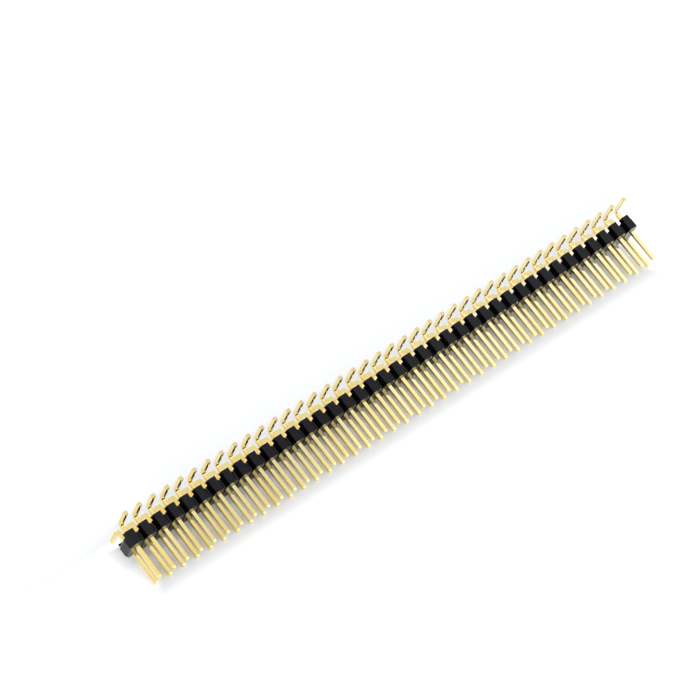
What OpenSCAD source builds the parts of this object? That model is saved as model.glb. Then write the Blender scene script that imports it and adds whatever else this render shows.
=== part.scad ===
// Double-row surface-mount pin header: a breakaway insulator strip that carries
// square pins, with their tails bent outward into solder feet.
// +X runs along the strip, +Y across the two rows and +Z up the mating posts.
// The origin is the middle of the footprint, in the plane the feet are soldered to.

/* [Layout] */
// Positions along the strip, each with one pin in either row
positions = 40; // [2:1:50]
// Distance between neighbouring positions
pitch = 2.54; // [2:0.02:4]
// Distance between the two rows of pins
row_pitch = 2.54; // [2:0.02:3.2]

/* [Insulator] */
// Width of a position's block across the rows
body_w = 5.08; // [4.6:0.02:8]
// Height of the insulator, standoff ribs included
body_h = 2.4; // [1.4:0.05:6]
// Height of the standoff ribs' lower edge above the solder plane
body_z = 1.96; // [0.8:0.02:4]
// Length of the web that joins two blocks, where the strip is broken to length
web_l = 0.34; // [0.2:0.02:1]
// Width of the web across the rows
web_w = 3.3; // [3.2:0.02:4]
// Length along the strip of the chamfer on each corner of a block
chamfer_l = 0.46; // [0.1:0.02:0.7]
// Height of the standoff ribs on the side that faces the board
rib_h = 0.56; // [0.2:0.02:1.2]
// Thickness of the standoff ribs
rib_t = 0.66; // [0.3:0.02:0.9]
// Depth of the groove under each web, above the channel between the ribs
notch_h = 0.22; // [0.1:0.02:0.4]

/* [Pins] */
// Side of the square wire that the pins are cut from
pin_w = 0.64; // [0.5:0.02:0.78]
// Gap between a pin and its hole, on each side
pin_fit = 0.01; // [0.005:0.005:0.03]
// Length of the mating posts above the insulator
post_l = 5.84; // [2:0.02:15]
// Length of the taper that points each post
tip_l = 0.3; // [0.1:0.05:1]
// Side of the flat end left on each point
tip_w = 0.4; // [0.1:0.02:0.48]
// Inside radius of the bend between tail and foot
bend_r = 0.2; // [0.1:0.05:0.5]
// Outside radius of the same bend, where the wire is pressed thinner
bend_outer = 1.2; // [0.8:0.05:1.6]
// Width across the ends of the feet
foot_span = 11.3; // [6:0.1:16]

/* [Hidden] */
$fn = 48;
// Overrun of a cut past the surface it opens
cut_over = 0.5;
strip_l = positions * pitch;
block_l = pitch - web_l;
face_l = block_l - 2 * chamfer_l;
channel_w = body_w - 2 * rib_t;
mating_z = body_z + body_h;
tip_z = mating_z + post_l;
hole_w = pin_w + 2 * pin_fit;
channel_z = body_z + rib_h;
// Height at which the straight stem starts, and reach of a foot from the pin's axis
bend_z = max(bend_outer, pin_w + bend_r);
foot_l = foot_span / 2 - row_pitch / 2;

// Name of the node that holds the two pins of position i
function pins_name(i) = str("pins_", i < 10 ? "0" : "", i);

// Place of position i along the strip
function place_x(i) = (i - (positions + 1) / 2) * pitch;

// Insulator seen from above: chamfered blocks joined by webs, with half a web at either end
module plan_outline() {
    block_side = [
        [-block_l / 2, web_w / 2],
        [-face_l / 2, body_w / 2],
        [face_l / 2, body_w / 2],
        [block_l / 2, web_w / 2],
    ];
    blocks = [for (i = [1:positions]) for (p = block_side) [place_x(i) + p[0], p[1]]];
    rear = concat([[-strip_l / 2, web_w / 2]], blocks, [[strip_l / 2, web_w / 2]]);
    front = [for (k = [len(rear) - 1:-1:0]) [rear[k][0], -rear[k][1]]];
    polygon(concat(rear, front));
}

// Channel along the board side, which leaves a standoff rib under each long wall
module channel() {
    translate([-strip_l / 2 - cut_over, -channel_w / 2, body_z - cut_over])
        cube([strip_l + 2 * cut_over, channel_w, rib_h + cut_over]);
}

// Square holes that the pins are pressed through
module pin_holes() {
    for (i = [1:positions])
        for (side = [-1, 1])
            translate([place_x(i), side * row_pitch / 2, body_z + body_h / 2])
                cube([hole_w, hole_w, body_h + 2 * cut_over], center = true);
}

// V-shaped grooves across the strip at every web, above it and in the channel below it
module break_grooves() {
    for (i = [0:positions])
        translate([place_x(i) + pitch / 2, 0, 0])
            rotate([90, 0, 0])
                linear_extrude(body_w + 2 * cut_over, center = true) {
                    polygon([
                        [-web_l / 2, mating_z + cut_over],
                        [-web_l / 2, mating_z],
                        [0, mating_z - web_l / 2],
                        [web_l / 2, mating_z],
                        [web_l / 2, mating_z + cut_over],
                    ]);
                    polygon([
                        [-notch_h, body_z - cut_over],
                        [notch_h, body_z - cut_over],
                        [notch_h, channel_z],
                        [0, channel_z + notch_h],
                        [-notch_h, channel_z],
                    ]);
                }
}

module insulator() {
    color("#2a2a2d")
        difference() {
            translate([0, 0, body_z])
                linear_extrude(body_h)
                    plan_outline();
            channel();
            pin_holes();
            break_grooves();
        }
}

// Plate with a blunt point at its top, from the bend up to the tip
module pointed_plate() {
    rotate([90, 0, 0])
        linear_extrude(2 * pin_w, center = true)
            polygon([
                [-pin_w / 2, bend_z],
                [pin_w / 2, bend_z],
                [pin_w / 2, tip_z - tip_l],
                [tip_w / 2, tip_z],
                [-tip_w / 2, tip_z],
                [-pin_w / 2, tip_z - tip_l],
            ]);
}

// Outline of the bend and the foot, seen along the strip
module tail_outline() {
    difference() {
        union() {
            translate([-pin_w / 2, 0])
                square([pin_w, bend_z]);
            translate([-pin_w / 2, 0])
                square([pin_w / 2 + foot_l, pin_w]);
            // Fillet inside the bend
            translate([pin_w / 2, pin_w])
                difference() {
                    square(bend_r);
                    translate([bend_r, bend_r])
                        circle(bend_r);
                }
        }
        // Corner outside the bend, cut away to a round
        translate([-pin_w / 2, 0])
            difference() {
                translate([-cut_over, -cut_over])
                    square(bend_outer + cut_over);
                translate([bend_outer, bend_outer])
                    circle(bend_outer);
            }
    }
}

// One pin on its own axis, with its foot towards +Y
module pin() {
    // Straight stem, square in section: two plates crossed at right angles
    intersection() {
        pointed_plate();
        rotate([0, 0, 90])
            pointed_plate();
    }
    // Bend from the stem into the foot, which is cut square at its end
    rotate([90, 0, 90])
        linear_extrude(pin_w, center = true)
            tail_outline();
}

// The two pins of position i, one in either row, with their feet outward
module pins(i) {
    color("#d9bc62")
        translate([place_x(i), 0, 0])
            for (side = [0, 1])
                mirror([0, side, 0])
                    translate([0, row_pitch / 2, 0])
                        pin();
}

insulator();
for (i = [1:positions])
    pins(i);
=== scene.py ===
# %% [markdown]
# # A double-row surface-mount pin header
# The object is a strip of forty positions. A black plastic insulator holds two rows of
# square gold-plated pins: straight posts above it for a socket, and tails below it that
# are bent outward into flat feet for soldering. The packed model gives the sizes and the
# places, and this lesson gives each piece its soft edges, its finish and its light.

# %% Load the packed model
from math import atan, cos, pi, radians, sin, tan

import bmesh
import bpy
import numpy as np
from mathutils import Matrix, Vector


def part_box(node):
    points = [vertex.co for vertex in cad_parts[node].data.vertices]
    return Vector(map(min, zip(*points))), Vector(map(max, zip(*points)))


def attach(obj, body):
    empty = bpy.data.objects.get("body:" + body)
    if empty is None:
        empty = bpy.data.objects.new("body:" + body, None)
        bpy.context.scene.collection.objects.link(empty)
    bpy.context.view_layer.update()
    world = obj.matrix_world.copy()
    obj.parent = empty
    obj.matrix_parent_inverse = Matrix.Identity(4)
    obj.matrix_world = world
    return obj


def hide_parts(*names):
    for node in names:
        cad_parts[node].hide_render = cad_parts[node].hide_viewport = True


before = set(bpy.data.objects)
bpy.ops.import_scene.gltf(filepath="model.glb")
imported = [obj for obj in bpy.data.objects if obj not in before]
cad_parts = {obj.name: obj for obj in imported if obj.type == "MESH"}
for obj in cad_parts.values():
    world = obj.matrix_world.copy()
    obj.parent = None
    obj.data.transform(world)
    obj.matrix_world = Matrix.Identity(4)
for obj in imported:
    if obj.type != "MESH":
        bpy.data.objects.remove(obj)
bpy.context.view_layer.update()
MM = 0.001

# %% [markdown]
# ## Sizes
# The boxes of the strip and of its pins are read from the model, so the new pieces follow
# it. The few sizes that a box can't tell, such as the web between two blocks or the taper
# of a point, are named in millimetres, with the values that the model was drawn with. Only
# the grooves differ: the model has plain V grooves, and the ones made here have steep sides
# and a flat floor at the same depth, which keeps the ends of the blocks crisp.

# %% Read the sizes
pin_nodes = sorted(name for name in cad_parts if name.startswith("pins_"))
pin_low, pin_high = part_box(pin_nodes[0])
body_low, body_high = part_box("insulator")
places = np.array([(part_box(n)[0].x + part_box(n)[1].x) / 2 for n in pin_nodes])
pitch = places[1] - places[0]
wire = pin_high.x - pin_low.x
tip_z, foot_y = pin_high.z, pin_high.y
body_z, mating_z = body_low.z, body_high.z
body_half = body_high.y
print(len(pin_nodes), "positions at", round(pitch / MM, 3), "mm, wire", round(wire / MM, 3), "mm")

# %% Name the sizes that a box can't tell
row_half = 1.27 * MM      # from the middle to either row of pins
web_l = 0.34 * MM         # length of the web between two blocks
web_half = 1.65 * MM      # half the width of the web
chamfer_l = 0.46 * MM     # length of a block's corner chamfer along the strip
rib_h = 0.56 * MM         # height of the standoff ribs
rib_t = 0.66 * MM         # thickness of the standoff ribs
notch_h = 0.22 * MM       # depth of the notch under a web, above the channel
groove_side = 0.05 * MM   # how far the steep sides of the groove on a web lean inward
pin_gap = 0.01 * MM       # gap between a pin and its hole
tip_l = 0.3 * MM          # length of the taper on a post
tip_half = 0.2 * MM       # half the side of the flat end of a post
bend_inner = 0.2 * MM     # radius inside the bend
bend_outer = 1.2 * MM     # radius outside the bend
foot_l = foot_y - row_half    # reach of a foot from its row
print("web", round(web_l / MM, 3), "mm long, foot reaching", round(foot_l / MM, 3), "mm from its row")

# %% [markdown]
# ## Helpers that turn arrays into a piece
# Each surface below is worked out as whole arrays. Blender could recalculate the normals
# of a mesh, but the signed volume of a closed surface already tells which way its faces
# point, so the faces are turned before the mesh is made. The piece then rides on the
# model's body and takes the place of its node.

# %% Volume within a closed surface
def signed_volume(points, faces):
    """Sum over the faces, cut into fans of triangles, of a . (b x c) / 6."""
    total = 0.0
    for group in faces:
        a = points[group[:, 0]]
        for k in range(1, group.shape[1] - 1):
            b, c = points[group[:, k]], points[group[:, k + 1]]
            total += np.einsum("ij,ij->", a, np.cross(b, c)) / 6
    return total


corner = np.array([[0, 0, 0], [1, 0, 0], [0, 1, 0], [0, 0, 1]])
corner_faces = np.array([[0, 2, 1], [0, 1, 3], [0, 3, 2], [1, 2, 3]])
print("the corner of a unit cube holds", round(float(signed_volume(corner, [corner_faces])), 3))

# %% Make a piece from arrays
def make_piece(name, points, faces, replaced):
    """points is (n, 3); faces is a list of integer arrays, each (m, corners)."""
    if signed_volume(points, faces) < 0:
        faces = [group[:, ::-1] for group in faces]
    mesh = bpy.data.meshes.new(name)
    mesh.from_pydata(points.tolist(), [], [f for group in faces for f in group.tolist()])
    mesh.shade_smooth()
    piece = bpy.data.objects.new(name, mesh)
    bpy.context.scene.collection.objects.link(piece)
    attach(piece, "root")
    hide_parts(replaced)
    return piece


print("pieces ride on the body called root")

# %% [markdown]
# ## The insulator
# The real insulator is one injection moulding of black glass-filled nylon. Seen from above
# it is a row of blocks with chamfered corners, joined by short narrow webs. A groove across
# the top of each web and a notch under it make it the place where the strip snaps to
# length. Two ribs under each block stand it off the board, and the channel between them
# lets solder flux be washed out.
#
# It could be cut from a bar with booleans, but a hundred cuts leave long thin faces that
# bevel badly. A lattice gives the shape without any. Columns cross the strip at each change
# of outline, lines run along it at the hole edges and walls, and three levels give the rib
# edge, the channel ceiling and the mating face. Each column has its own half-widths and
# its own levels, so chamfers, grooves and notches are only columns that differ.

# %% Columns of one position
block_half = (pitch - web_l) / 2
groove_half = block_half + groove_side
face_half = block_half - chamfer_l
hole_half = wire / 2 + pin_gap
channel_half = body_half - rib_t
rib_end = face_half + chamfer_l * rib_t / (body_half - web_half)
ceiling_z = body_z + rib_h
groove_z = mating_z - web_l / 2
notch_rise = notch_h * groove_side / (web_l / 2)

# From the middle of one web to just before the middle of the next
cell_x = np.array([-pitch / 2, -groove_half, -block_half, -rib_end, -face_half, -hole_half,
                   hole_half, face_half, rib_end, block_half, groove_half])
print("columns at", np.round(cell_x / MM, 2), "mm from a position's middle")

# %% Half-widths and levels of each column
hole_in, hole_out = row_half - hole_half, row_half + hole_half
web_lines = [share * web_half for share in (0.3, 0.6, 0.8, 1)]
end_lines = [hole_in, hole_out, channel_half, channel_half]
block_lines = [hole_in, hole_out, channel_half, body_half]
cell_lines = np.array([web_lines] * 3 + [end_lines] + [block_lines] * 4 + [end_lines] + [web_lines] * 2)
middle_levels = [body_z, ceiling_z + notch_h, groove_z]
groove_levels = [body_z, ceiling_z + notch_rise, groove_z]
block_levels = [body_z, ceiling_z, mating_z]
cell_levels = np.array([middle_levels, groove_levels] + [block_levels] * 8 + [groove_levels])
print("half-widths of a block:", np.round(np.array(block_lines) / MM, 2), "mm")

# %% [markdown]
# The columns are repeated at every position, and one more closes the last half web. The
# half-widths are mirrored about the middle of the strip, which gives eight lines.

# %% Lattice of the insulator
def insulator_lattice():
    """Point (column, line, level) = (x of column, half-width of line, height of level)."""
    x = np.append((places[:, None] + cell_x).ravel(), body_high.x)
    half = np.concatenate([np.tile(cell_lines, (len(places), 1)), cell_lines[:1]])
    height = np.concatenate([np.tile(cell_levels, (len(places), 1)), cell_levels[:1]])
    y = np.concatenate([-half[:, ::-1], half], axis=1)
    shape = len(x), y.shape[1], height.shape[1]
    points = np.stack(np.broadcast_arrays(x[:, None, None], y[:, :, None],
                                          height[:, None, :]), axis=-1)
    return points.reshape(-1, 3), np.arange(np.prod(shape)).reshape(shape)


lattice_points, number = insulator_lattice()
print("lattice of", number.shape, "columns, lines and levels")

# %% [markdown]
# The solid is a set of lattice boxes: a box is filled if it is part of a rib, or lies
# between the ceiling and the mating face and isn't a pin hole.

# %% Boxes that hold plastic
HOLE_GAP, RIB_GAPS = 5, (3, 7)       # gaps between the columns of a position
HOLE_LINES, RIB_LINES = (2, 4), (0, 6)


def filled_boxes():
    """True for each lattice box (column gap, line gap, level gap) that holds plastic."""
    filled = np.zeros([size - 1 for size in number.shape], bool)
    filled[:, :, 1] = True
    gap = np.arange(filled.shape[0]) % len(cell_x)
    ribbed = (gap >= RIB_GAPS[0]) & (gap <= RIB_GAPS[1])
    for line in RIB_LINES:
        filled[ribbed, line, 0] = True
    for line in HOLE_LINES:
        filled[gap == HOLE_GAP, line, :] = False
    return filled


plastic_boxes = filled_boxes()
print(plastic_boxes.sum(), "of", plastic_boxes.size, "boxes are filled")

# %% [markdown]
# The skin is every lattice face with a filled box on one side only, so the mesh is closed
# by construction. Corners are taken in one turning order for all three directions, which
# makes every face point the same way.

# %% Skin of the boxes
def skin(filled):
    """Faces between a filled box and an empty one, across each of the three directions."""
    faces = []
    low, high = slice(None, -1), slice(1, None)
    for axis in range(3):
        pad = [(1, 1) if k == axis else (0, 0) for k in range(3)]
        step = np.diff(np.pad(filled, pad).astype(int), axis=axis)
        cut = [slice(None)] * 3
        u, v = [k for k in range(3) if k != axis]
        corners = []
        for pick_u, pick_v in ((low, low), (high, low), (high, high), (low, high)):
            cut[u], cut[v] = pick_u, pick_v
            corners.append(number[tuple(cut)])
        quads = np.stack(corners, axis=-1)
        if axis == 1:
            quads = quads[..., ::-1]
        faces += [quads[step == -1], quads[step == 1][:, ::-1]]
    return np.concatenate(faces)


def used_only(points, quads):
    """Drops the lattice points that no face uses and renumbers the faces."""
    keep, flat = np.unique(quads.ravel(), return_inverse=True)
    return points[keep], flat.reshape(quads.shape)


body_points, body_quads = used_only(lattice_points, skin(plastic_boxes))
print("skin of", len(body_quads), "faces")

# %% Build the insulator
def merge_doubles(mesh):
    """Joins points that share a place, where two lines meet at the sharp end of a rib."""
    joined = bmesh.new()
    joined.from_mesh(mesh)
    bmesh.ops.remove_doubles(joined, verts=joined.verts, dist=1e-4 * MM)
    joined.to_mesh(mesh)
    joined.free()


insulator = make_piece("insulator_moulding", body_points, [body_quads], "insulator")
merge_doubles(insulator.data)
print("insulator:", len(insulator.data.vertices), "points,", len(insulator.data.polygons), "faces,",
      round(signed_volume(body_points, [body_quads]) / MM**3, 1), "mm3")

# %% [markdown]
# A mould never leaves a perfectly sharp edge, and the thin bright line along a rounded
# edge is what makes plastic look moulded. The roundings could be built into the lattice,
# but a Bevel modifier needs no more than their width. It rounds every edge that turns by
# 25 degrees or more, and hardened normals keep the flat faces flat.

# %% Soften the moulded edges
edge_radius = 0.04 * MM
soften = insulator.modifiers.new("moulded edges", "BEVEL")
soften.width = edge_radius
soften.segments = 2
soften.limit_method = "ANGLE"
soften.angle_limit = radians(25)
soften.harden_normals = True
soften.use_clamp_overlap = False
print("edges rounded at", round(edge_radius / MM, 3), "mm")

# %% [markdown]
# ## The pins
# Each pin is cut from square drawn wire. The post's end is swaged to a blunt point, and
# the tail is bent over a former into a foot with a plain cut end. A curve with a bevel
# shape could make it, but would keep one thickness through the bend, where real wire is
# pressed thinner. So a pin is a rounded square carried along its centre line ring by ring,
# and its cross-section comes first: four corner arcs, and between them sides that drawing
# leaves slightly crowned. A crown of about a hundredth of a millimetre is enough to bend
# the reflections.

# %% Cross-section of the wire
corner_steps = 4
corner_r = 0.06 * MM
crown = 0.008 * MM         # how much a side bulges in its middle


def wire_section():
    """Crowned square with rounded corners. Returns offsets and outward normals.

    Each side starts at its middle, at wire / 2, and falls by the crown to the corner arc,
    whose centre + corner_r (cos t, sin t) runs from t = lean to t = 90 degrees - lean.
    """
    lean = 2 * atan(crown / (wire / 2 - corner_r))
    turn = np.concatenate([[0], np.linspace(lean, pi / 2 - lean, corner_steps)])
    normal = np.stack([np.cos(turn), np.sin(turn)], axis=1)
    centre = wire / 2 - crown - corner_r * cos(lean)
    quarter = centre + corner_r * normal
    quarter[0] = wire / 2, 0
    turns = np.array([[[1, 0], [0, 1]], [[0, 1], [-1, 0]], [[-1, 0], [0, -1]], [[0, -1], [1, 0]]])
    return (quarter @ turns).reshape(-1, 2), (normal @ turns).reshape(-1, 2)


section, section_normal = wire_section()
around = len(section)
print("section of", around, "points")

# %% [markdown]
# The centre line starts at the tip, runs down the post, turns outward through the bend and
# ends with the foot. Rings are close together only where the wire changes. Bending presses
# the wire thinner and rounds its outer side far more than its inner side, so each ring of
# the bend spans from a point of the inner arc to the point of the outer arc at the same
# angle. A ring also has a turn, which leans its normals from across the wire to along it,
# so that points and ends shade as the rounded metal they are.

# %% Roundings of the wire's ends
taper = atan((wire / 2 - tip_half) / tip_l)
point_r = 0.1 * MM         # rounding of the flat end
shoulder_r = 0.3 * MM      # rounding where the taper starts
cut_r = 0.03 * MM          # rounding of the cut end of a foot
point_steps, shoulder_steps, bend_steps, cut_steps = 4, 3, 9, 3
print("posts taper at", round(float(np.degrees(taper)), 1), "degrees")

# %% Rings along the centre line
def straight_rings(turn, half, place, angle):
    """Rows for a straight stretch: place is the height up the post or the reach of the foot."""
    zero = np.zeros_like(turn)
    if angle == 0:
        return np.stack([zero, place, -half, zero, half, zero, turn], axis=1)
    return np.stack([place, zero + wire / 2, zero, -half, half, zero + angle, turn], axis=1)


def pin_rings():
    """Rows of (centre y, z; vector y, z to the outer side; half-width; angle; turn).

    Point: quarter round of radius point_r, then a wide round at the shoulder. Bend: outer
    and inner arcs, each centre - radius (cos a, sin a). Foot: small round at the cut.
    """
    turn = np.linspace(pi / 2, taper, point_steps)
    flat = tip_half + point_r * (1 - sin(taper)) * tan(taper) - point_r * cos(taper)
    point = straight_rings(turn, flat + point_r * np.cos(turn),
                           tip_z - point_r * (1 - np.sin(turn)), 0)
    turn = np.linspace(taper, 0, shoulder_steps)
    shoulder_z = tip_z - tip_l - shoulder_r * tan(taper / 2)
    shoulder = straight_rings(turn, wire / 2 - shoulder_r * (1 - np.cos(turn)),
                              shoulder_z + shoulder_r * np.sin(turn), 0)
    angle = np.linspace(0, pi / 2, bend_steps)
    way = np.stack([np.cos(angle), np.sin(angle)], axis=1)
    outer = np.array([bend_outer - wire / 2, bend_outer]) - bend_outer * way
    inner = np.array([wire / 2 + bend_inner, wire + bend_inner]) - bend_inner * way
    rest = np.stack([np.full(bend_steps, wire / 2), angle, np.zeros(bend_steps)], axis=1)
    bend = np.concatenate([(outer + inner) / 2, (outer - inner) / 2, rest], axis=1)
    turn = np.linspace(0, -pi / 2, cut_steps)
    cut = straight_rings(turn, wire / 2 - cut_r * (1 - np.cos(turn)),
                         foot_l - cut_r * (1 + np.sin(turn)), pi / 2)
    return np.concatenate([point, shoulder, bend, cut])


rings = pin_rings()
wire_length = np.linalg.norm(np.diff(rings[:, :2], axis=0), axis=1).sum()
print(len(rings), "rings along", round(wire_length / MM, 2), "mm of wire")

# %% [markdown]
# The rings and the section make the surface: every ring carries the same twenty points, so
# the faces are quads between neighbouring rings, and one flat face closes either end.

# %% Surface of one pin
def pin_surface(place):
    """Points, normals and lengths along the wire of the pin in the +Y row at x = place.

    point = centre + (x across, outer vector * n) of the section, with x and n as shares of
    the half-width; normal = section normal * cos(turn) - direction * sin(turn), where
    direction = (sin angle, -cos angle) and the outer side faces (-cos angle, -sin angle).
    """
    y, z, out_y, out_z, half, angle, turn = (rings[:, k, None] for k in range(7))
    across, away = section[:, 0] / (wire / 2), section[:, 1] / (wire / 2)
    points = np.stack([place + half * across, row_half + y + out_y * away, z + out_z * away], axis=-1)
    flat = section_normal[:, 1] * np.cos(turn)
    normals = np.stack([section_normal[:, 0] * np.cos(turn),
                        -np.cos(angle) * flat - np.sin(angle) * np.sin(turn),
                        -np.sin(angle) * flat + np.cos(angle) * np.sin(turn)], axis=-1)
    steps = np.linalg.norm(np.diff(rings[:, :2], axis=0), axis=1)
    return points, normals, np.concatenate([[0], np.cumsum(steps)])


print("points, normals and lengths of", len(rings) * around, "spots")

# %% Faces of one pin
ring, spot = np.meshgrid(np.arange(len(rings) - 1), np.arange(around), indexing="ij")
here, beside = ring * around + spot, ring * around + (spot + 1) % around
ring_quads = np.stack([here, beside, beside + around, here + around], axis=-1).reshape(-1, 4)
end_caps = np.array([np.arange(around)[::-1], (len(rings) - 1) * around + np.arange(around)])
print("one pin:", len(rings) * around, "points,", len(ring_quads) + 2, "faces")

# %% [markdown]
# A grain that runs along the wire needs to know how far along it a point is. This UV map
# gives that in millimetres, and goes once round the wire the other way.

# %% Map along the wire
def wire_map(mesh, length):
    """UV map: u is the length along the wire in mm, v goes once round it."""
    corner_point = np.empty(len(mesh.loops), np.int32)
    mesh.loops.foreach_get("vertex_index", corner_point)
    starts = np.empty(len(mesh.polygons), np.int32)
    totals = np.empty(len(mesh.polygons), np.int32)
    mesh.polygons.foreach_get("loop_start", starts)
    mesh.polygons.foreach_get("loop_total", totals)
    v = (corner_point % around) / around
    face = np.repeat(np.arange(len(starts)), totals)
    wraps = np.maximum.reduceat(v, starts)[face] - v > 0.5
    v = np.where(wraps & (totals[face] == 4), v + 1, v)
    uv = np.stack([length[corner_point] / MM, v], axis=1).astype(np.float32)
    mesh.uv_layers.new(name="wire").uv.foreach_set("vector", uv.ravel())


print("wire map ready")

# %% [markdown]
# Pins are never quite alike: the plating bath leaves some a deeper yellow, pressing them in
# leaves some a hair out of line, and the cutter leaves the feet a few hundredths of a
# millimetre short. Each pin gets a tone for its finish, a small sway of its tip and a trim of
# its foot. On top of the chance, the tone deepens steadily towards the +X end of the strip:
# that part is painted shade, for the dimmer light at that end. The chance parts come from a
# seeded generator, so that every run gives the same strip.

# %% Build the eighty pins
chance = np.random.default_rng(40)
foot_trim = 0.06 * MM       # the most that a foot is short
tip_sway = 0.035 * MM       # the most that a tip is out of line, along either axis
# The share by place is painted shade: it deepens the tone towards the +X end, for the dimmer light there.
chance_tone, painted_shade_share = 0.4, 0.6      # shares of the tone that come by chance and by place


def build_pair(node, place):
    """Both pins of a position: one surface, and the same mirrored to the other row."""
    points, normals, along = pin_surface(place)
    in_foot = rings[:, 0] > foot_l - 2 * cut_r
    both, count = [], points.shape[0] * around
    for side in (1, -1):
        trim = foot_trim * chance.random()
        sway = tip_sway * chance.uniform(-1, 1, 2)
        along_strip = (place - body_low.x) / (body_high.x - body_low.x)
        # The tone is partly chance plating and partly painted shade that deepens towards the +X end.
        tone_and_shade = chance_tone * chance.random()**2 + painted_shade_share * along_strip
        spots, facing = points.copy(), normals.copy()
        spots[in_foot, :, 1] -= trim
        lever = np.clip((spots[..., 2] - mating_z) / (tip_z - mating_z), 0, 1)
        spots[..., :2] += lever[..., None] * sway
        spots[..., 1] *= side
        facing[..., 1] *= side
        quads, caps = (faces[:, ::side] + count * (side < 0) for faces in (ring_quads, end_caps))
        both.append((spots.reshape(-1, 3), facing.reshape(-1, 3), quads, caps, np.full(count, tone_and_shade)))
    spots, facing, quads, caps, tones_and_shade = (np.concatenate(part) for part in zip(*both))
    piece = make_piece(node.replace("pins_", "pin_pair_"), spots, [quads, caps], node)
    mesh = piece.data
    mesh.normals_split_custom_set_from_vertices(facing.tolist())
    attribute = mesh.attributes.new("tone_and_shade", "FLOAT", "POINT")
    attribute.data.foreach_set("value", tones_and_shade.astype(np.float32))
    wire_map(mesh, np.tile(np.repeat(along, around), 2))
    return piece


pin_pairs = [build_pair(node, place) for node, place in zip(pin_nodes, places)]
print(len(pin_pairs), "pairs of pins,", len(pin_pairs[0].data.polygons), "faces each")

# %% [markdown]
# ## Finishes
# Both materials are built from nodes, with no image files, because a pattern worked out by
# nodes stays sharp at any distance. A small class keeps the node code readable: it makes
# the material and adds a node with its settings and inputs in one line.

# %% A material made of nodes
class NodePaint:
    """A node material. An input may be a number, a colour or another node's output."""

    def __init__(self, name):
        self.material = bpy.data.materials.new(name)
        self.material.use_nodes = True
        self.nodes = self.material.node_tree.nodes
        self.shader = self.nodes["Principled BSDF"]

    def feed(self, socket, value):
        if isinstance(value, bpy.types.NodeSocket):
            self.material.node_tree.links.new(value, socket)
        else:
            socket.default_value = value

    def add(self, kind, inputs, out=0, **settings):
        """Adds a node and returns one of its outputs."""
        node = self.nodes.new("ShaderNode" + kind)
        for key, value in settings.items():
            setattr(node, key, value)
        for key, value in inputs.items():
            self.feed(node.inputs[key], value)
        return node.outputs[out]

    def surface(self, **sockets):
        """Feeds the shader's sockets, named with underscores for spaces."""
        for key, value in sockets.items():
            self.feed(self.shader.inputs[key.replace("_", " ")], value)
        return self.material


print("node paint ready")

# %% [markdown]
# The finishes share a few steps: cloudy noise, a change of range, a mix of two numbers or
# two colours, a soft curve through a few values, and bumps. A second class adds them to
# the first, so that a finish reads as a list of what it is made of.

# %% Steps that the finishes share
class Finish(NodePaint):
    """A node material with the patterns and sums of this strip's finishes."""

    def noise(self, vector, scale, detail, rough=0.5):
        inputs = {"Vector": vector, "Scale": scale, "Detail": detail, "Roughness": rough}
        return self.add("TexNoise", inputs, "Fac")

    def stretched(self, vector, scale):
        return self.add("Mapping", {"Vector": vector, "Scale": scale})

    def math(self, operation, first, second=0.0):
        return self.add("Math", {0: first, 1: second}, operation=operation)

    def between(self, value, low, high, out_low=0.0, out_high=1.0, smooth=False):
        """Carries low..high of the value over to out_low..out_high."""
        inputs = {"Value": value, "From Min": low, "From Max": high,
                  "To Min": out_low, "To Max": out_high}
        return self.add("MapRange", inputs, interpolation_type="SMOOTHSTEP" if smooth else "LINEAR")

    def blend(self, amount, first, second):
        inputs = {"Factor": amount, "A": first, "B": second}
        return self.add("Mix", inputs, "Result", data_type="FLOAT")

    def ramp(self, value, stops):
        """Soft curve through (value, grey) stops, for a value from the first stop to the last."""
        low, high = stops[0][0], stops[-1][0]
        share = self.between(value, low, high)
        colour = self.add("ValToRGB", {"Fac": share}, "Color")
        band = colour.node.color_ramp
        band.interpolation = "EASE"
        while len(band.elements) < len(stops):
            band.elements.new(1.0)
        for element, (place, grey) in zip(band.elements, stops):
            element.position = (place - low) / (high - low)
            element.color = (grey, grey, grey, 1)
        return colour

    def mix(self, amount, first, second):
        return self.add("Mix", {"Factor": amount, "A": first, "B": second}, "Result", data_type="RGBA")

    def bump(self, height, strength, distance):
        inputs = {"Height": height, "Strength": strength, "Distance": distance}
        return self.add("Bump", inputs)


print("finishes can use:", ", ".join(name for name in vars(Finish) if name[0] != "_"))

# %% [markdown]
# ### Gold-plated wire
# The pins are brass with a thin bright plating, so the shader is plain metal. What makes
# it real is small: the plating is a little deeper in colour on some pins and in faint
# clouds, drawing has left fine lines along the wire, and the cutter leaves the foot's end
# bare and dull. The lines follow the wire through the bend because they use its own map.
# The scale of a noise is in patches per metre, so a scale of 900 gives clouds of a
# millimetre, and the lines are stretched along the map instead.

# %% Colours and gloss of the gold
pale, deep, bare = (0.94, 0.82, 0.47, 1), (0.91, 0.70, 0.22, 1), (0.80, 0.65, 0.31, 1)
cloud_range = 0.45, 0.8       # values of the noise between which a cloud sets in
most_clouding = 0.35          # share of the deep colour in the middle of a cloud
usual_noise = 0.3, 0.7        # range that most of a noise lies in
gold_gloss = 0.04, 0.08       # roughness between the drawn lines and on them
cut_rough = 0.3               # roughness of the cut end
cut_start = (wire_length - 1.5 * cut_r) / MM
print("bare metal from", round(cut_start, 2), "mm along the wire")

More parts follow.
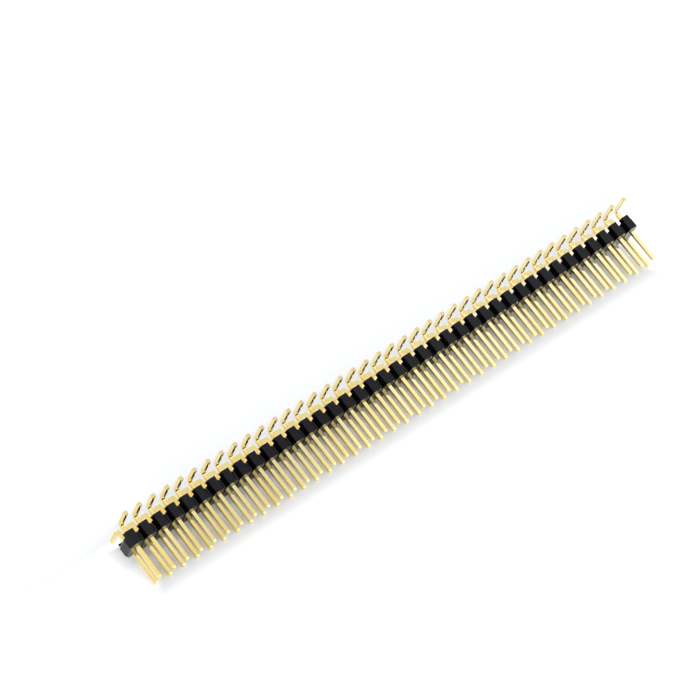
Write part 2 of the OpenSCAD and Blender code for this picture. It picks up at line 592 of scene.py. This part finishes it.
# %% Finish of the pins
def gold_finish():
    finish = Finish("gold_plated_wire")
    along = finish.add("UVMap", {}, "UV", uv_map="wire")
    tone_and_shade = finish.add("Attribute", {}, "Fac", attribute_name="tone_and_shade")
    place = finish.add("TexCoord", {}, "Object")
    drawn = finish.noise(finish.stretched(along, (0.35, 60, 1)), scale=1.0, detail=3)
    cloud = finish.noise(place, scale=900, detail=2)
    # The tone attribute carries each pin's chance plating tone and a painted shade that deepens towards
    # the +X end.
    by_pin = finish.mix(tone_and_shade, pale, deep)
    clouded = finish.mix(finish.between(cloud, *cloud_range, 0.0, most_clouding), by_pin, deep)
    length = finish.add("SeparateXYZ", {0: along}, "X")
    end = finish.math("GREATER_THAN", length, cut_start)
    smooth = finish.between(drawn, *usual_noise, *gold_gloss)
    return finish.surface(
        Base_Color=finish.mix(end, clouded, bare),
        Metallic=1.0,
        Roughness=finish.math("MAXIMUM", smooth, finish.math("MULTIPLY", end, cut_rough)),
        Normal=finish.bump(drawn, strength=0.2, distance=0.004 * MM))


gold = gold_finish()
for piece in pin_pairs:
    piece.data.materials.append(gold)
print("gold finish on", len(pin_pairs), "pieces")

# %% [markdown]
# ### Moulded black plastic
# Glass-filled nylon comes out of a polished mould nearly black and glossy, with a faint
# mottle where the glass shows and a finer grain that blurs its reflections. The mating
# face is the smoothest part, and mirrors the posts. Where the strip was snapped off, the
# break is paler and rougher. One material does all three, because a point's place tells
# which it is: the mating face is the highest, and the breaks are at the two ends.

# %% Colours and gloss of the plastic
black_low, black_high = (0.002, 0.0016, 0.003, 1), (0.006, 0.0052, 0.0085, 1)
broken_low, broken_high = (0.07, 0.069, 0.075, 1), (0.15, 0.147, 0.157, 1)
wall_gloss, face_gloss = (0.12, 0.18), (0.03, 0.06)     # roughness in and between clouds
broken_rough = 0.6
wall_grain, face_grain = 0.1, 0.03                      # strength of the fine bumps
edge_band = 0.02 * MM         # how near the top or an end a point belongs to it
print("mating face above", round((mating_z - edge_band) / MM, 2), "mm")

# %% Finish of the insulator
def plastic_finish():
    finish = Finish("moulded_black_plastic")
    place = finish.add("TexCoord", {}, "Object")
    across = finish.math("ABSOLUTE", finish.add("SeparateXYZ", {0: place}, "X"))
    height = finish.add("SeparateXYZ", {0: place}, "Z")
    cloud = finish.noise(place, scale=450, detail=4)
    grain = finish.noise(place, scale=9000, detail=3)
    crumbs = finish.noise(place, scale=1800, detail=5, rough=0.6)
    black = finish.mix(cloud, black_low, black_high)
    broken = finish.mix(crumbs, broken_low, broken_high)
    end = finish.math("GREATER_THAN", across, body_high.x - edge_band)
    top = finish.math("GREATER_THAN", height, mating_z - edge_band)
    wall = finish.between(cloud, *usual_noise, *wall_gloss)
    face = finish.between(cloud, *usual_noise, *face_gloss)
    gloss = finish.blend(top, wall, face)
    return finish.surface(
        Base_Color=finish.mix(end, black, broken),
        Roughness=finish.math("MAXIMUM", gloss, finish.math("MULTIPLY", end, broken_rough)),
        Specular_IOR_Level=0.25,
        Normal=finish.bump(grain, finish.blend(top, wall_grain, face_grain), distance=0.008 * MM))


insulator.data.materials.append(plastic_finish())
print("plastic finish on the insulator")

# %% [markdown]
# ## Floor, card, light and camera
# The strip stands on a pale floor that keeps its shadow. A white card leans behind it from
# the ends of its rear feet to the points of its posts, as a strip laid on its side would
# have the table: the posts stand out against it, and it gives the polished metal something
# soft to mirror. The card is painted on the near side only, so it is clear from behind.
#
# White paint that is only lit comes out grey. A glow that is seen directly and in
# reflections, but sheds no light, lifts it to white and keeps the shadows on it.

# %% White paint
white = (0.97, 0.98, 1)             # the paint's colour at full strength
glow_white = (0.945, 0.965, 1, 1)


def white_paint(name, pattern):
    """Matt paint. pattern(finish, place) gives its colour, its glow seen directly and mirrored."""
    finish = Finish(name)
    colour, direct, mirrored = pattern(finish, finish.add("TexCoord", {}, "Object"))
    by_camera, in_metal, through_glass = (finish.add("LightPath", {}, f"Is {kind} Ray")
                                          for kind in ("Camera", "Glossy", "Transmission"))
    seen = finish.math("MULTIPLY", finish.math("MAXIMUM", by_camera, through_glass), direct)
    finish.surface(
        Base_Color=colour,
        Roughness=0.9,
        Specular_IOR_Level=0.0,
        Emission_Color=glow_white,
        Emission_Strength=finish.math("MAXIMUM", seen, finish.math("MULTIPLY", in_metal, mirrored)))
    return finish


print("paint ready")

# %% [markdown]
# Seen from behind, the card would hide the strip. A sheet could be turned or taken away for
# such a view, but paint on one side only needs no change: the mesh knows which side a ray
# meets, and lets it through on the back.

# %% Paint on one side, and a sheet to carry it
def clear_behind(finish):
    """Makes the back of a painted sheet see-through."""
    behind = finish.add("NewGeometry", {}, "Backfacing")
    clear = finish.add("BsdfTransparent", {})
    either = finish.add("MixShader", {0: behind, 1: finish.shader.outputs[0], 2: clear})
    finish.feed(finish.nodes["Material Output"].inputs["Surface"], either)


def sheet_of(name, corners, paint):
    """Flat four-cornered sheet that belongs to the stage."""
    mesh = bpy.data.meshes.new(name)
    mesh.from_pydata(corners, [], [[0, 1, 2, 3]])
    mesh.materials.append(paint)
    sheet = bpy.data.objects.new(name, mesh)
    bpy.context.scene.collection.objects.link(sheet)


print("sheets ready")

# %% [markdown]
# Seen directly, the floor glows evenly, and a little less near the strip: a painted shade
# where a real table is shaded. In the metal its glow changes along the strip as painted
# light: it is brightest towards the -X end, as on a table that is lit from one side, dimmest
# a little past the middle, and rises again towards the +X end, so each post mirrors its own
# stretch of it. From just in front of the feet, and on under the strip, it has one glow,
# which the feet mirror.

# %% Glow of the floor
floor_share = 0.35                  # share of white in the paint, from 0 for black to 1
# most_shade is painted shade: near the strip the floor's glow is lowered by it.
floor_direct, most_shade = 0.86, 0.06
shade_zone = -foot_y - 20 * MM, -foot_y - 2 * MM
shade_ends = body_high.x, body_high.x - 9 * MM
# Painted light for the metal: the floor's mirrored glow along x, brightest towards the -X end.
floor_painted_light = [(-20 * MM, 1.0), (10 * MM, 0.72), (18 * MM, 0.70), (40 * MM, 0.86)]
feet_zone, feet_mirror = (-foot_y - 2.2 * MM, -foot_y - 0.4 * MM), 0.87


def floor_pattern(finish, place):
    x, y = (finish.add("SeparateXYZ", {0: place}, axis) for axis in "XY")
    inside = finish.between(finish.math("ABSOLUTE", x), *shade_ends, smooth=True)
    shade = finish.between(y, *shade_zone, 0.0, most_shade, smooth=True)
    direct = finish.math("SUBTRACT", floor_direct, finish.math("MULTIPLY", inside, shade))
    feet = finish.between(y, *feet_zone, smooth=True)
    mirrored = finish.blend(feet, finish.ramp(x, floor_painted_light), feet_mirror)
    return (*(floor_share * level for level in white), 1), direct, mirrored


print("floor glows", floor_direct, "seen directly,", round(floor_direct - most_shade, 2), "near the strip")

# %% Floor
far = 2.0                           # half the floor's side and half the card's length, in metres
floor_corners = [(-far, -far, 0), (far, -far, 0), (far, far, 0), (-far, far, 0)]
sheet_of("floor", floor_corners, white_paint("floor_paint", floor_pattern).material)
print("floor laid,", 2 * far, "m wide")

# %% [markdown]
# The card touches the strip at the ends of the rear feet and at the points of the rear
# posts, which gives its lean. Its glow carries painted shade: it is dark where the insulator
# shades it, grey behind the posts, and white beyond their points, under the feet and past
# the ends. These painted greys are soft curves over the height, once for the eye and once,
# a little darker, for the metal. The paint is also darker in a band behind the insulator and
# the foot of the posts, a painted shade for what the metal mirrors there.

# %% Glow of the card
# Painted shade in the card's paint: less white in a band from 2.2 to 6.4 mm up, behind the insulator and
# the foot of the posts.
card_share_painted_shade = [(0, 0.88), (2.2 * MM, 0.7), (3.4 * MM, 0.6), (4.8 * MM, 0.6), (6.4 * MM, 0.88)]
# Painted shade behind the base and behind the posts, seen directly and, darker, in the metal.
direct_painted_shade, mirrored_painted_shade = (0.18, 0.26), (0.05, 0.13)
past_ends = body_high.x - 6 * MM, body_high.x + 3 * MM


def card_painted_shade_glow(shade_behind_base, shade_behind_posts):
    """Stops (height, glow) of painted shade, from the feet past the insulator and posts to the open card.
    """
    return [(0, 0.9), (1.2 * MM, 0.85), (2.6 * MM, 0.06), (4.6 * MM, shade_behind_base),
            (6.4 * MM, shade_behind_posts), (tip_z - 2 * MM, 0.22), (tip_z + 6 * MM, 1.0)]


def card_pattern(finish, place):
    x, z = (finish.add("SeparateXYZ", {0: place}, axis) for axis in "XZ")
    direct, mirrored = (finish.ramp(z, card_painted_shade_glow(*greys)) for greys in (direct_painted_shade, mirrored_painted_shade))
    beyond = finish.between(finish.math("ABSOLUTE", x), *past_ends, smooth=True)
    colour = finish.mix(finish.ramp(z, card_share_painted_shade), (0, 0, 0, 1), (*white, 1))
    return colour, finish.math("MAXIMUM", direct, beyond), finish.math("MAXIMUM", mirrored, beyond)


print("card glows", direct_painted_shade, "behind the posts, and", mirrored_painted_shade, "in the metal")

# %% Card
card_gap = 0.05 * MM                # how far the card stays clear of the metal
card_reach = 0.4                    # from the floor to the card's upper edge, in metres
foot_edge = Vector((0, foot_y + card_gap, wire))
tip_edge = Vector((0, row_half + tip_half + card_gap, tip_z))
lean = (tip_edge - foot_edge).normalized()
card_low = foot_edge - lean * (foot_edge.z / lean.z)
card_high = card_low + lean * card_reach
card_paint = white_paint("card_paint", card_pattern)
clear_behind(card_paint)
card_corners = [(side * far, *edge[1:]) for side, edge in
                ((-1, card_low), (1, card_low), (1, card_high), (-1, card_high))]
sheet_of("card", card_corners, card_paint.material)
print("card leans", round(float(np.degrees(atan(-lean.y / lean.z))), 1), "degrees")

# %% [markdown]
# The surround is an even white, dimmed so that the shadows hold. A polished pin mirrors it
# on every side that faces neither floor nor card.

# %% Surround
world = bpy.data.worlds.new("studio")
bpy.context.scene.world = world
world.use_nodes = True
surround = world.node_tree.nodes["Background"]
surround.inputs["Color"].default_value = (1, 1, 1, 1)
surround.inputs["Strength"].default_value = 0.6
print("surround set to", surround.inputs["Strength"].default_value)

# %% [markdown]
# One large soft panel, in front, above and towards the -X end, gives the shadow its
# direction. A small lamp would draw hard shadows between the posts. Its energy grows with
# the square of its distance, so the brightness stays about the same when it is moved.

# %% Lamp
def panel(name, azimuth, elevation, distance, size, level):
    """Rectangular soft panel aimed at the strip, with an energy of 4 pi distance^2 level."""
    lamp = bpy.data.lights.new(name, "AREA")
    lamp.shape = "RECTANGLE"
    lamp.size, lamp.size_y = size
    lamp.energy = 4 * pi * distance**2 * level
    lit = bpy.data.objects.new(name, lamp)
    a, e = radians(azimuth), radians(elevation)
    way = Vector((sin(a) * cos(e), -cos(a) * cos(e), sin(e)))
    lit.location = Vector((0, 0, mating_z)) + way * distance
    lit.rotation_mode = "QUATERNION"
    lit.rotation_quaternion = way.to_track_quat("Z", "Y")
    lit.visible_camera = False
    bpy.context.scene.collection.objects.link(lit)
    return lit


key_panel = panel("key_panel", azimuth=-35, elevation=40, distance=0.5, size=(0.7, 0.7), level=0.45)
print("panel at", [round(c / MM) for c in key_panel.location], "mm")

# %% [markdown]
# The camera has a long lens, so the two ends of the strip differ little in size. It looks
# down on the mating side from the front and the +X end, turned on its own axis so that the
# strip runs from corner to corner of the view with its feet up.

# %% Camera
camera_data = bpy.data.cameras.new("camera")
camera_data.lens = 168.7
camera_data.sensor_width = 36
camera_data.clip_start, camera_data.clip_end = 0.01, 20
camera = bpy.data.objects.new("camera", camera_data)
camera_azimuth, camera_elevation, camera_roll = radians(26.634), radians(12.356), radians(141.84)
aim = Vector((2.463, -0.910, -3.654)) * MM
camera_distance = 498.87 * MM
back = Vector((sin(camera_azimuth) * cos(camera_elevation),
               -cos(camera_azimuth) * cos(camera_elevation),
               sin(camera_elevation)))
level_right = Vector((0, 0, 1)).cross(back).normalized()
level_up = back.cross(level_right)
right = level_right * cos(camera_roll) + level_up * sin(camera_roll)
turned = Matrix((right, back.cross(right), back)).transposed().to_4x4()
camera.matrix_world = Matrix.Translation(aim + back * camera_distance) @ turned
bpy.context.scene.collection.objects.link(camera)
bpy.context.scene.camera = camera
bpy.context.scene.view_settings.view_transform = "Standard"
print("camera at", [round(c / MM, 1) for c in camera.location], "mm")
